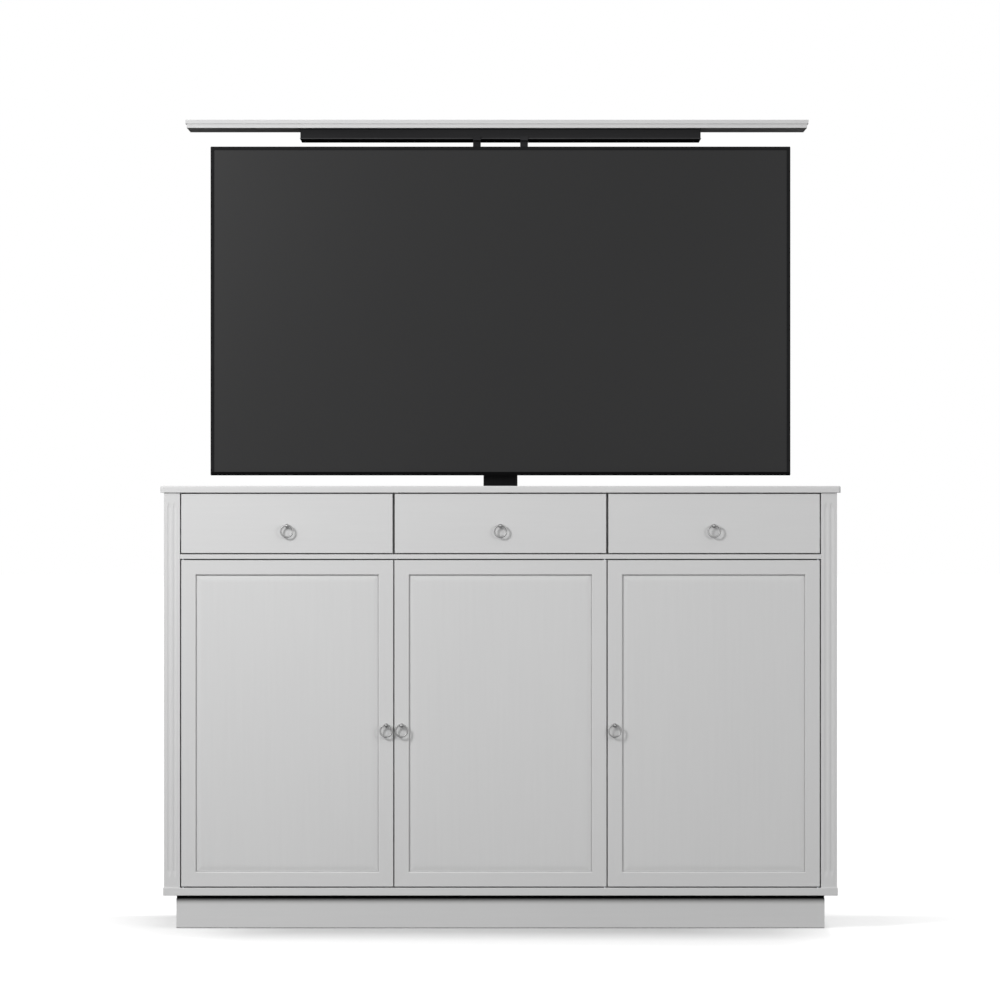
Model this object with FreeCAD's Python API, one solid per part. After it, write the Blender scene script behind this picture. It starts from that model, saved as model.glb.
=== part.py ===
import FreeCAD, Part
import os

# Cabinet with three drawers over three raised-panel doors, and a column lift that raises a
# television and its floating lid out of a slot in the top. Millimetres, +Z up, front towards -Y.
# The lift is drawn raised. Depths are counted from the face of the doors towards the back, and
# the origin is the centre of the whole object's footprint, on the floor.

os.makedirs("parts", exist_ok=True)
V = FreeCAD.Vector

# ---- driving dimensions -------------------------------------------------------------------
BODY_W = 1386.6
TOP_W = 1402.0
TOP_Z = 912.0
TOP_T = 14.0
TOP_FRONT = -4.0
BACK = 500.0
TOP_CORNER_R = 6.0
TOP_EDGE_R = 3.0
BASE_W = 1390.0
BASE_FRONT = -2.0
BASE_Z = 68.0
BASE_T = 16.0
PLINTH_W = 1336.5
PLINTH_FRONT = 10.0
PLINTH_BACK = 480.0
SHADOW_GAP = (7.0, 12.0)
BEARER_X = 110.0
BOARD = 18.0
SIDE_T = 22.0
PILASTER_W = 33.0
PILASTER_T = 22.0
FLUTE_SINK = 1.4
FLUTE_R = 6.4
FLUTE_STOPS = (20.0, 17.0)
FRONT_T = 19.0
GAP = 2.4

RAIL_Z = 761.4
RAIL_T = 9.6
WELL_FRONT = 268.0
WELL_T = 15.0
REAR_T = 12.0
REAR_IN = 3.0
REAR_FRONT = BACK - REAR_IN - REAR_T
HOUSING = 5.0
WELL_GROOVE = 6.0
REAR_REBATE = 10.0

KNOB_REACH = 18.0
KNOB_R = 14.6
KNOB_NECK_R = 5.5
KNOB_HEAD = 8.0
KNOB_DISH_R = 9.0
KNOB_DISH_DEEP = 2.4
DRAWER_KNOB_Z = 816.0
DOOR_KNOB_Z = 405.0
DOOR_KNOB_IN = 14.5

STILE = 30.6
PANEL_BEVEL = 15.0
PANEL_CLEAR = 0.4
EASED = 0.6
GROOVE_DEEP = 8.0

DRAWER_BOX_T = 12.0
DRAWER_BOX_BACK = 255.0
RUNNER_GAP = 12.5
RUNNER_Z = 820.0
RUNNER_L = 226.0

SHELF_Z = 411.0
BATTEN_W = 14.0
BATTEN_H = 22.0

SLOT_FRONT = 296.0
SLOT_BACK = 462.0
SLOT_W = 1310.0
LID_SHIFT = -7.5
LID_UNDER = 1667.5
LID_PLUG_T = 8.8
LID_LIP_T = 8.1
PLATFORM_W = 845.0
PLATFORM_T = 22.4
PLATFORM_FRONT = 315.0
PLATFORM_BACK = 455.0

TV_W = 1222.6
TV_H = 693.4
TV_Z = 934.8
TV_FRONT = 302.0
TV_BACK = 336.0
TV_EDGE_T = 12.0
BEZEL = 7.4
VESA = 300.0
VESA_Z = 1250.0

COLUMN_MID = 390.0
OUTER = (80.0, 74.0, 90.0, 800.0)
MIDDLE = (72.0, 66.0, 476.5, 1191.5)
INNER = (64.0, 58.0, 863.0, 1603.0)
WALL = 2.5
PAD_T = 1.2
ARM_W = 16.0
ARM_PITCH = 100.0
ARM_BACK = 348.0

# ---- worked out from them -----------------------------------------------------------------
Y_MID = (BACK - KNOB_REACH) / 2
FLOOR_Z = BASE_Z + BASE_T
UNDER_TOP = TOP_Z - TOP_T
SIDE_IN = BODY_W / 2 - SIDE_T
OPENING = BODY_W / 2 - PILASTER_W
DOOR_W = (2 * OPENING - 4 * GAP) / 3
DOOR_Z = (FLOOR_Z + GAP, RAIL_Z - GAP)
DRAWER_GAP = 4.5
DRAWER_W = (2 * OPENING - 2 * GAP - 2 * DRAWER_GAP) / 3
DRAWER_Z = (RAIL_Z + RAIL_T + GAP, UNDER_TOP - GAP)
PARTITION_X = (DOOR_W + GAP) / 2
PARTITION_IN = PARTITION_X - BOARD / 2
PARTITION_OUT = PARTITION_X + BOARD / 2
BAYS = {
    "left": (-SIDE_IN, -PARTITION_OUT),
    "middle": (-PARTITION_IN, PARTITION_IN),
    "right": (PARTITION_OUT, SIDE_IN),
}
DOOR_X = {
    "left": -OPENING + GAP,
    "middle": -DOOR_W / 2,
    "right": OPENING - GAP - DOOR_W,
}
HINGE_SIDE = {"left": -1, "middle": 1, "right": 1}
DRAWER_X = {
    "left": -OPENING + GAP,
    "middle": -DRAWER_W / 2,
    "right": OPENING - GAP - DRAWER_W,
}


# ---- small helpers ------------------------------------------------------------------------
def slab(x0, x1, d0, d1, z0, z1):
    """A board between two x values, two depths behind the door faces and two heights."""
    return Part.makeBox(x1 - x0, d1 - d0, z1 - z0, V(x0, d0 - Y_MID, z0))


def rod(radius, start, direction, length):
    """A round bar from a point given as x, depth, z."""
    x, depth, z = start
    return Part.makeCylinder(radius, length, V(x, depth - Y_MID, z), V(*direction))


def extrude(points, along):
    """The flat outline through points given as x, depth, z, pushed along a vector."""
    corners = [V(x, depth - Y_MID, z) for x, depth, z in points]
    return Part.Face(Part.makePolygon(corners + corners[:1])).extrude(V(*along))


def soften(shape, radius, wanted):
    """Round the edges whose bounding box passes the test wanted(box)."""
    edges = [edge for edge in shape.Edges if wanted(edge.BoundBox)]
    return shape.makeFillet(radius, edges)


def bevel(shape, size, wanted):
    """Take the corner off the edges whose bounding box passes the test wanted(box)."""
    edges = [edge for edge in shape.Edges if wanted(edge.BoundBox)]
    return shape.makeChamfer(size, edges)


def is_upright(box):
    return box.XLength < 0.01 and box.YLength < 0.01


def is_level_at(box, z):
    return box.ZLength < 0.01 and abs(box.ZMin - z) < 0.01


def on_front(box, depth):
    return box.YLength < 0.01 and abs(box.YMin - (depth - Y_MID)) < 0.01


def ring_tube(width, depth, z0, z1, wall):
    """An upright rectangular tube round the lift's centre line, with rounded outer corners."""
    def block(w, d):
        front = COLUMN_MID - d / 2
        return slab(-w / 2, w / 2, front, front + d, z0, z1)
    outside = soften(block(width, depth), 4.0, is_upright)
    return outside.cut(block(width - 2 * wall, depth - 2 * wall))


def save(name, *solids):
    """Write the solids of one node to its STEP file."""
    shape = solids[0] if len(solids) == 1 else Part.makeCompound(list(solids))
    shape.exportStep("parts/" + name + ".step")


# ---- carcass ------------------------------------------------------------------------------
def front_and_ends(z):
    """The test for the level edges at a height along the front and both ends of a board."""
    return lambda box: is_level_at(box, z) and box.YMin < BACK - Y_MID - 0.01


def top_board():
    """The thin top: front corners and upper edge rounded, lower edge eased, slot for the lid."""
    board = slab(-TOP_W / 2, TOP_W / 2, TOP_FRONT, BACK, UNDER_TOP, TOP_Z)
    board = soften(board, TOP_CORNER_R, lambda box: is_upright(box) and box.YMin < 0)
    board = soften(board, TOP_EDGE_R, front_and_ends(TOP_Z))
    board = bevel(board, EASED, front_and_ends(UNDER_TOP))
    slot_x = LID_SHIFT - SLOT_W / 2
    return board.cut(slab(slot_x, slot_x + SLOT_W, SLOT_FRONT, SLOT_BACK, UNDER_TOP - 1, TOP_Z + 1))


def base_board():
    """The moulding over the plinth: edges just eased, mortised for the lower hinges."""
    board = slab(-BASE_W / 2, BASE_W / 2, BASE_FRONT, BACK, BASE_Z, FLOOR_Z)
    edge_r = 1.0
    board = soften(board, edge_r, front_and_ends(FLOOR_Z))
    board = soften(board, edge_r, front_and_ends(BASE_Z))
    return board.cut(leaf_mortises(True))


def flute_cutter(x, z0, z1):
    """A spindle whose side cuts one flute: straight, with a long run-out towards each end."""
    run_out = 14.0
    thin = FLUTE_R - FLUTE_SINK
    y = -thin - Y_MID
    outline = [(0, z0), (thin, z0), (FLUTE_R, z0 + run_out), (FLUTE_R, z1 - run_out), (thin, z1), (0, z1)]
    corners = [V(x + r, y, z) for r, z in outline]
    return Part.Face(Part.makePolygon(corners + corners[:1])).revolve(V(x, y, 0), V(0, 0, 1), 360)


def pilaster(side):
    x0, x1 = sorted((side * OPENING, side * BODY_W / 2))
    post = slab(x0, x1, 0, PILASTER_T, FLOOR_Z, UNDER_TOP)
    post = bevel(post, EASED, lambda box: is_upright(box) and on_front(box, 0))
    low, high = FLOOR_Z + FLUTE_STOPS[0], UNDER_TOP - FLUTE_STOPS[1]
    for inset in (PILASTER_W / 3, PILASTER_W * 2 / 3):
        post = post.cut(flute_cutter(side * (BODY_W / 2 - inset), low, high))
    return post


def deck_boards():
    """The three boards under the drawers, let into the sides and partitions."""
    z1 = RAIL_Z + RAIL_T
    return [slab(x0 - HOUSING, x1 + HOUSING, PILASTER_T, WELL_FRONT, RAIL_Z, z1)
            for x0, x1 in BAYS.values()]


def side_panel(side):
    """The end board, rebated for the back and grooved for the well panel and the decks."""
    x0, x1 = sorted((side * SIDE_IN, side * BODY_W / 2))
    board = slab(x0, x1, PILASTER_T, BACK, FLOOR_Z, UNDER_TOP)
    rebate = sorted((side * SIDE_IN, side * (SIDE_IN + REAR_REBATE)))
    board = board.cut(slab(*rebate, REAR_FRONT, BACK, FLOOR_Z, UNDER_TOP))
    groove = sorted((side * SIDE_IN, side * (SIDE_IN + WELL_GROOVE)))
    board = board.cut(slab(*groove, WELL_FRONT, WELL_FRONT + WELL_T, FLOOR_Z, UNDER_TOP))
    return board.cut(deck_boards())


def partition(side):
    x0 = side * PARTITION_X - BOARD / 2
    board = slab(x0, x0 + BOARD, PILASTER_T, WELL_FRONT, FLOOR_Z, UNDER_TOP)
    return board.cut(deck_boards())


def plinth_boards():
    """Front, back and end boards of the recessed base, rebated along the top of the front and
    ends for a shadow gap, and two bearers under the lift."""
    half = PLINTH_W / 2
    foot = 1.5
    inner = (PLINTH_FRONT + BOARD, PLINTH_BACK - BOARD)
    front = slab(-half, half, PLINTH_FRONT, inner[0], 0, BASE_Z)
    front = bevel(front, foot, lambda box: is_level_at(box, 0) and on_front(box, PLINTH_FRONT))
    boards = [front, slab(-half, half, inner[1], PLINTH_BACK, 0, BASE_Z)]
    for x0 in (-half, half - BOARD, -BEARER_X - BOARD / 2, BEARER_X - BOARD / 2):
        boards.append(slab(x0, x0 + BOARD, *inner, 0, BASE_Z))
    high, deep = SHADOW_GAP
    z0 = BASE_Z - high
    core = slab(deep - half, half - deep, PLINTH_FRONT + deep, PLINTH_BACK, z0 - 1, BASE_Z + 2)
    gap = slab(-half - 1, half + 1, PLINTH_FRONT - 1, PLINTH_BACK + 1, z0, BASE_Z + 1).cut(core)
    return [board.cut(gap) for board in boards]


VENTS = 6
VENT_PITCH = 28.0
VENT_W = 12.0
VENT_Z = (700.0, 820.0)
CABLE_HOLE_R = 30.0
CABLE_HOLE_Z = 190.0
OUTLET_X = -470.0
CABLE_HOLE_X = {name: (x0 + x1) / 2 for name, (x0, x1) in BAYS.items()}


def well_panel():
    """The upright board between the cupboards and the lift's well, with a cable hole to each."""
    half = SIDE_IN + WELL_GROOVE
    board = slab(-half, half, WELL_FRONT, WELL_FRONT + WELL_T, FLOOR_Z, UNDER_TOP)
    holes = [rod(CABLE_HOLE_R, (x, WELL_FRONT - 1, CABLE_HOLE_Z), (0, 1, 0), WELL_T + 2)
             for x in CABLE_HOLE_X.values()]
    return board.cut(holes)


def back_panel():
    """The rear board, with a cable outlet and a row of vent slots behind the lift."""
    half = SIDE_IN + REAR_REBATE
    board = slab(-half, half, REAR_FRONT, BACK - REAR_IN, FLOOR_Z, UNDER_TOP)
    start = (OUTLET_X, REAR_FRONT - 1, CABLE_HOLE_Z)
    board = board.cut(rod(CABLE_HOLE_R, start, (0, 1, 0), REAR_T + 2))
    for index in range(VENTS):
        x = (index - (VENTS - 1) / 2) * VENT_PITCH
        slot = slab(x - VENT_W / 2, x + VENT_W / 2, REAR_FRONT - 1, BACK + 1, *VENT_Z)
        board = board.cut(bevel(slot, 4.0, lambda box: box.XLength < 0.01 and box.ZLength < 0.01))
    return board


def shelves():
    boards = []
    front = PILASTER_T + 2
    for x0, x1 in BAYS.values():
        board = slab(x0 + 1, x1 - 1, front, WELL_FRONT - 6, SHELF_Z, SHELF_Z + BOARD)
        boards.append(bevel(board, EASED, lambda box: on_front(box, front) and box.ZLength < 0.01))
    return boards


def shelf_battens():
    """A strip under each end of every shelf, with its front lower corner cut back."""
    strips = []
    low = SHELF_Z - BATTEN_H
    front = PILASTER_T + 12
    outline = [(front, SHELF_Z), (front, SHELF_Z - 8), (front + 14, low), (WELL_FRONT, low),
               (WELL_FRONT, SHELF_Z)]
    for x0, x1 in BAYS.values():
        for x in (x0, x1 - BATTEN_W):
            strips.append(extrude([(x, depth, z) for depth, z in outline], (BATTEN_W, 0, 0)))
    return strips


def runner_walls():
    """For each drawer: where its two runner walls are, past the packers at the ends."""
    return {
        "left": (-OPENING, -PARTITION_OUT),
        "middle": (-PARTITION_IN, PARTITION_IN),
        "right": (PARTITION_OUT, OPENING),
    }


def runner_packers():
    """Strips that bring the end runners level with the inner edge of the pilasters."""
    strips = []
    half = 20.0
    end = PILASTER_T + RUNNER_L + 10
    for side in (-1, 1):
        x0, x1 = sorted((side * SIDE_IN, side * OPENING))
        strips.append(slab(x0, x1, PILASTER_T, end, RUNNER_Z - half, RUNNER_Z + half))
    return strips


def cabinet_runner(wall, side):
    """A channel with turned-in lips, screwed to the wall. The side points at the drawer."""
    outline = [(0, -18), (11, -18), (11, -12), (9.8, -12), (9.8, -16.8), (1.2, -16.8),
               (1.2, 16.8), (9.8, 16.8), (9.8, 12), (11, 12), (11, 18), (0, 18)]
    points = [(wall + side * x, PILASTER_T, RUNNER_Z + z) for x, z in outline]
    return extrude(points, (0, RUNNER_L, 0))


def drawer_runner(wall, side):
    """The drawer's own rail, hooked behind the lips of the channel."""
    outline = [(12.5, -16), (12.5, 16), (11.4, 16), (11.4, 11), (3.4, 11), (3.4, 15.8),
               (2.2, 15.8), (2.2, -15.8), (3.4, -15.8), (3.4, -11), (11.4, -11), (11.4, -16)]
    points = [(wall + side * x, PILASTER_T + 2, RUNNER_Z + z) for x, z in outline]
    return extrude(points, (0, RUNNER_L, 0))


# ---- door hinges --------------------------------------------------------------------------
PIVOT_IN = 4.0
PIN_R = 2.0
LEAF_T = 2.4
LEAF_L = 45.0


def leaf(edge, side, z):
    """One flat hinge leaf: a cranked nose about the pin and a strip along the door's edge."""
    outline = [(-3.0, -1.4), (-1.4, -3.0), (3.0, -3.0), (9.0, 0), (LEAF_L, 0), (LEAF_L, 9.0),
               (4.0, 9.0), (-3.0, 3.0)]
    pivot = edge - side * PIVOT_IN
    return extrude([(pivot - side * x, PIVOT_IN + y, z) for x, y in outline], (0, 0, LEAF_T))


def door_edge(name):
    """The x of the hinge edge, and which way is outwards from the door there."""
    side = HINGE_SIDE[name]
    x0 = DOOR_X[name]
    return (x0 + DOOR_W if side > 0 else x0), side


def door_leaves(name):
    """The two leaves let into the bottom and top edge of a door, bored for the pins."""
    edge, side = door_edge(name)
    pivot = edge - side * PIVOT_IN
    leaves = []
    for z in (DOOR_Z[0], DOOR_Z[1] - LEAF_T):
        hole = rod(PIN_R + 0.05, (pivot, PIVOT_IN, z - 1), (0, 0, 1), LEAF_T + 2)
        leaves.append(leaf(edge, side, z).cut(hole))
    return leaves


def cabinet_leaves():
    """The leaves in the base board and the rail, each with the pin that the door turns on."""
    leaves = []
    for name in DOOR_X:
        edge, side = door_edge(name)
        pivot = edge - side * PIVOT_IN
        reach = GAP + LEAF_T - 0.4
        for z, up in ((FLOOR_Z, 1), (RAIL_Z, -1)):
            plate = leaf(edge, side, z if up < 0 else z - LEAF_T)
            pin = rod(PIN_R, (pivot, PIVOT_IN, z), (0, 0, up), reach)
            leaves.append(plate.fuse(pin).removeSplitter())
    return leaves


def leaf_mortises(lower):
    """What the leaves take out of the base board (lower) or of the rail above the doors."""
    z = FLOOR_Z - LEAF_T if lower else RAIL_Z
    return [leaf(*door_edge(name), z) for name in DOOR_X]


# ---- doors --------------------------------------------------------------------------------
def frame_member(length):
    """A stile or rail lying along +X: outer edge at z=0, inner edge at z=STILE, ends mitred."""
    ovolo = 3.0
    groove = (7.0, 13.0)
    depth_z = [(EASED, 0), (0, EASED), (0, STILE - ovolo)]
    corners = [V(0, depth, z) for depth, z in depth_z]
    inner = [(2.0, STILE), (groove[0], STILE), (groove[0], STILE - GROOVE_DEEP),
             (groove[1], STILE - GROOVE_DEEP), (groove[1], STILE), (FRONT_T, STILE), (FRONT_T, 0)]
    inner = [V(0, depth, z) for depth, z in inner]
    round_over = Part.Arc(corners[2], V(0, 0.6, STILE - 0.9), inner[0]).toShape()
    edges = [Part.makeLine(corners[0], corners[1]), Part.makeLine(corners[1], corners[2]), round_over]
    path = inner + [corners[0]]
    edges += [Part.makeLine(a, b) for a, b in zip(path, path[1:])]
    bar = Part.Face(Part.Wire(edges)).extrude(V(length, 0, 0))
    reach = STILE + 5
    cuts = []
    for x, direction in ((0, 1), (length, -1)):
        wedge = [V(x, -1, 0), V(x + direction * reach, -1, reach), V(x, -1, reach), V(x, -1, 0)]
        cuts.append(Part.Face(Part.makePolygon(wedge)).extrude(V(0, FRONT_T + 2, 0)))
    return bar.cut(cuts)


def place_member(bar, x, z, turn):
    """Turn a member in the plane of the door and put its outer corner at x, z."""
    bar = bar.copy()
    bar.rotate(V(0, 0, 0), V(0, 1, 0), turn)
    bar.translate(V(x, -Y_MID, z))
    return bar


def door_frame(name):
    x0 = DOOR_X[name]
    x1 = x0 + DOOR_W
    z0, z1 = DOOR_Z
    rail = frame_member(DOOR_W)
    stile = frame_member(z1 - z0)
    members = [
        place_member(rail, x0, z0, 0),
        place_member(stile, x1, z0, -90),
        place_member(rail, x1, z1, 180),
        place_member(stile, x0, z1, 90),
    ]
    cuts = [leaf(*door_edge(name), z) for z in (DOOR_Z[0], DOOR_Z[1] - LEAF_T)]
    return [member.cut(cuts) for member in members]


def door_knob_x(name):
    edge, side = door_edge(name)
    return edge - side * (DOOR_W - DOOR_KNOB_IN)


def rectangle(x0, x1, z0, z1, depth):
    corners = [(x0, z0), (x1, z0), (x1, z1), (x0, z1), (x0, z0)]
    return Part.makePolygon([V(x, depth - Y_MID, z) for x, z in corners])


def door_panel(name):
    """The raised field with its shallow cove, and the tongue that floats in the grooves."""
    back = 12.8
    tongue = 7.2
    field = 3.0
    fall = 1.7
    facets = 3
    x0, x1 = DOOR_X[name] + STILE, DOOR_X[name] + DOOR_W - STILE
    z0, z1 = DOOR_Z[0] + STILE, DOOR_Z[1] - STILE
    hidden = GROOVE_DEEP - 1
    core = slab(x0 - hidden, x1 + hidden, tongue, back, z0 - hidden, z1 + hidden)
    edge = rectangle(x0 + PANEL_CLEAR, x1 - PANEL_CLEAR, z0 + PANEL_CLEAR, z1 - PANEL_CLEAR, tongue)
    raised = Part.Face(edge).extrude(V(0, field + fall - tongue, 0))
    steps = []
    for index in range(facets + 1):
        part = index / facets
        step = PANEL_CLEAR + part * (PANEL_BEVEL - PANEL_CLEAR)
        steps.append(rectangle(x0 + step, x1 - step, z0 + step, z1 - step, field + fall * (1 - part) ** 2))
    return core.fuse(raised).fuse(Part.makeLoft(steps, True, True)).removeSplitter()


def strike_plate(name):
    """The steel plate on the back of the door that the magnetic catch holds."""
    x = catch_x(name)
    half = 18.0
    thick = 1.6
    return slab(x - half, x + half, FRONT_T, FRONT_T + thick, RAIL_Z - 17, RAIL_Z - 5)


def catch_x(name):
    """The middle of a catch, set in from the door's free edge."""
    edge, side = door_edge(name)
    set_in = 60.0
    return edge - side * (DOOR_W - set_in)


def door_catches():
    """A magnetic catch under the deck behind the free corner of each door."""
    blocks = []
    half, deep, high = 22.0, 24.0, 16.0
    for name in DOOR_X:
        x = catch_x(name)
        block = slab(x - half, x + half, PILASTER_T, PILASTER_T + deep, RAIL_Z - high, RAIL_Z)
        blocks.append(bevel(block, 2.0, is_upright))
    return blocks


# ---- drawers and knobs --------------------------------------------------------------------
def knob(x, z):
    """A turned knob: a neck and a broad head with a dish sunk in its face."""
    shoulder = KNOB_REACH - KNOB_HEAD
    floor = KNOB_REACH - KNOB_DISH_DEEP
    turned = [(0, 0), (KNOB_NECK_R, 0), (KNOB_NECK_R, shoulder), (KNOB_R, shoulder),
              (KNOB_R, KNOB_REACH), (KNOB_DISH_R, KNOB_REACH), (KNOB_DISH_R, floor), (0, floor)]
    corners = [V(x + radius, -reach - Y_MID, z) for radius, reach in turned]
    section = Part.Face(Part.makePolygon(corners + corners[:1]))
    return section.revolve(V(x, 0, z), V(0, 1, 0), 360)


def drawer_front(name):
    x0 = DRAWER_X[name]
    front = slab(x0, x0 + DRAWER_W, 0, FRONT_T, *DRAWER_Z)
    return bevel(front, EASED, lambda box: on_front(box, 0))


def drawer_box(name):
    """Two sides, a front and a back, grooved for the bottom board that they hold."""
    wall0, wall1 = runner_walls()[name]
    x0, x1 = wall0 + RUNNER_GAP, wall1 - RUNNER_GAP
    z0, z1 = DRAWER_Z[0] + 9, DRAWER_Z[1] - 22
    thick = DRAWER_BOX_T
    bottom = slab(x0 + thick - 5, x1 - thick + 5, FRONT_T + thick - 5, DRAWER_BOX_BACK - thick + 5,
                  z0 + 10, z0 + 15)
    walls = [
        slab(x0, x0 + thick, FRONT_T, DRAWER_BOX_BACK, z0, z1),
        slab(x1 - thick, x1, FRONT_T, DRAWER_BOX_BACK, z0, z1),
        slab(x0 + thick, x1 - thick, FRONT_T, FRONT_T + thick, z0, z1),
        slab(x0 + thick, x1 - thick, DRAWER_BOX_BACK - thick, DRAWER_BOX_BACK, z0, z1),
    ]
    return [wall.cut(bottom) for wall in walls] + [bottom]


# ---- lift ---------------------------------------------------------------------------------
def lift_base_plate():
    """The lift's foot on the base board, with its corners cut off."""
    half_w, half_d = 150.0, 84.0
    plate = slab(-half_w, half_w, COLUMN_MID - half_d, COLUMN_MID + half_d, FLOOR_Z, OUTER[2])
    return bevel(plate, 12.0, is_upright)


def column(size):
    return ring_tube(*size, WALL)


def guide_strips(size):
    """Long plastic glides on the four inner walls of a column."""
    width, depth, z0, z1 = size
    half_w, half_d = width / 2 - WALL, depth / 2 - WALL
    half = 10.0
    low, high = z0 + 5, z1 - 3
    strips = []
    for side in (-1, 1):
        xs = sorted((side * half_w, side * (half_w - PAD_T)))
        strips.append(slab(*xs, COLUMN_MID - half, COLUMN_MID + half, low, high))
        ds = sorted((COLUMN_MID + side * half_d, COLUMN_MID + side * (half_d - PAD_T)))
        strips.append(slab(-half, half, *ds, low, high))
    return strips


def lift_motor():
    """Gear case against the foot of the column, with the round motor lying beside it."""
    case_l, case_half, case_h = 58.0, 32.0, 66.0
    motor_r, motor_l, motor_z = 24.0, 104.0, OUTER[2] + 34
    collar_r, collar_t = 27.0, 6.0
    x0 = OUTER[0] / 2
    x1 = x0 + case_l
    case = slab(x0, x1, COLUMN_MID - case_half, COLUMN_MID + case_half, OUTER[2], OUTER[2] + case_h)
    case = bevel(case, 6.0, lambda box: box.XLength > 1)
    start = (x1, COLUMN_MID, motor_z)
    motor = rod(motor_r, start, (1, 0, 0), motor_l)
    collar = rod(collar_r, start, (1, 0, 0), collar_t)
    return case.fuse([motor, collar]).removeSplitter()


def lift_control_box():
    """The power box on the well's floor, with mounting ears and a bare mains inlet."""
    x0, x1 = -350.0, -190.0
    d0, d1 = 340.0, 440.0
    lid_z = FLOOR_Z + 46
    ear, ear_t = 14.0, 3.0
    body = slab(x0, x1, d0, d1, FLOOR_Z, lid_z)
    body = bevel(body, 6.0, is_upright)
    body = bevel(body, 2.5, lambda box: is_level_at(box, lid_z))
    ears = slab(x0 - ear, x1 + ear, 375, 405, FLOOR_Z, FLOOR_Z + ear_t)
    inlet = slab(-290, -262, 425, d1 + 1, FLOOR_Z + 13, FLOOR_Z + 33)
    return body.fuse(ears).cut(inlet).removeSplitter()


HEAD_T = 6.0
HEAD_BACK = 425.0


def head_bracket():
    """Welded steel head: a socket round the top of the inner column, a cap plate and a web."""
    width, depth, _, top = INNER
    wall, high, half = 3.5, 22.0, 64.0
    web_t = 4.0
    socket = ring_tube(width + 2 * wall, depth + 2 * wall, top - high, top, wall)
    cap = slab(-half, half, ARM_BACK, HEAD_BACK, top, top + HEAD_T)
    cap = bevel(cap, 8.0, lambda box: is_upright(box) and box.YMin > COLUMN_MID - Y_MID)
    web = slab(-half, half, ARM_BACK, ARM_BACK + web_t, top - high, top)
    return socket.fuse([cap, web]).removeSplitter()


def lid_support_arms():
    """Two bars before the columns, each with a gusset on the head and a foot under the platform."""
    under = LID_UNDER - PLATFORM_T
    low = VESA_Z - 170
    cap = INNER[3] + HEAD_T
    hook_t, hook_up = 3.0, 5.0
    hook = PLATFORM_FRONT - hook_t
    toe, heel = 440.0, 410.0
    outline = [(ARM_BACK, low), (TV_BACK, low), (TV_BACK, under - hook_t), (hook, under - hook_t),
               (hook, under + hook_up), (PLATFORM_FRONT, under + hook_up), (PLATFORM_FRONT, under),
               (toe, under), (toe, under - 4), (heel, cap), (ARM_BACK, cap)]
    arms = []
    for side in (-1, 1):
        x0 = side * ARM_PITCH / 2 - ARM_W / 2
        arms.append(extrude([(x0, depth, z) for depth, z in outline], (ARM_W, 0, 0)))
    return arms


PLATE_TOP = VESA_Z + 120
PLATE_T = 3.0


def tv_mount_plate():
    """The flat cross plate behind the arms, with four lightening holes."""
    half = 190.0
    plate = slab(-half, half, ARM_BACK, ARM_BACK + PLATE_T, VESA_Z - 110, PLATE_TOP)
    plate = bevel(plate, 10.0, lambda box: box.XLength < 0.01 and box.ZLength < 0.01)
    slots = []
    for side in (-1, 1):
        for z in (VESA_Z - 50, VESA_Z + 50):
            xs = sorted((side * 70, side * 126))
            slot = slab(*xs, ARM_BACK - 1, ARM_BACK + PLATE_T + 1, z - 20, z + 20)
            slots.append(bevel(slot, 9.0, lambda box: box.XLength < 0.01 and box.ZLength < 0.01))
    return plate.cut(slots)


def tv_bracket_rails():
    """Two channels screwed to the set's back, hooked over the top edge of the plate."""
    low, high = VESA_Z - 168, VESA_Z + 168
    half, wall, hook_t = 15.0, 2.5, 3.0
    nib_front = ARM_BACK + PLATE_T + 0.2
    nib_back = nib_front + 2
    nib_h = 14.0
    rails = []
    for side in (-1, 1):
        x = side * VESA / 2
        bar = slab(x - half, x + half, TV_BACK, ARM_BACK, low, high)
        hollow = slab(x - half + wall, x + half - wall, TV_BACK + wall, ARM_BACK + 1, low - 1, high + 1)
        hook = slab(x - half, x + half, ARM_BACK - 2, nib_back, PLATE_TOP, PLATE_TOP + hook_t)
        nib = slab(x - half, x + half, nib_front, nib_back, PLATE_TOP - nib_h, PLATE_TOP)
        rails.append(bar.cut(hollow).fuse([hook, nib]).removeSplitter())
    return rails


def lid_platform():
    """The dark board that carries the lid, with its corners eased."""
    under = LID_UNDER - PLATFORM_T
    half = PLATFORM_W / 2
    board = slab(-half, half, PLATFORM_FRONT, PLATFORM_BACK, under, LID_UNDER)
    return soften(board, 2.0, is_upright)


def lid_panel():
    """The floating lid: a plug that fills the slot and a wider lip that rests on the top."""
    clear = 1.2
    rest = 1.8
    half = SLOT_W / 2 - clear
    z1 = LID_UNDER + LID_PLUG_T
    plug = slab(LID_SHIFT - half, LID_SHIFT + half, SLOT_FRONT + clear, SLOT_BACK - clear, LID_UNDER, z1)
    half = SLOT_W / 2 + rest
    lip = slab(LID_SHIFT - half, LID_SHIFT + half, SLOT_FRONT - rest, SLOT_BACK + rest, z1, z1 + LID_LIP_T)
    lip = soften(lip, 1.2, lambda box: is_level_at(box, z1 + LID_LIP_T))
    return plug.fuse(lip).removeSplitter()


# ---- television ---------------------------------------------------------------------------
TV_TOP = TV_Z + TV_H
TV_HALF = TV_W / 2
LIP_T = 1.2
SHELL_T = 2.2
PANEL_BACK = 310.8


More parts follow.
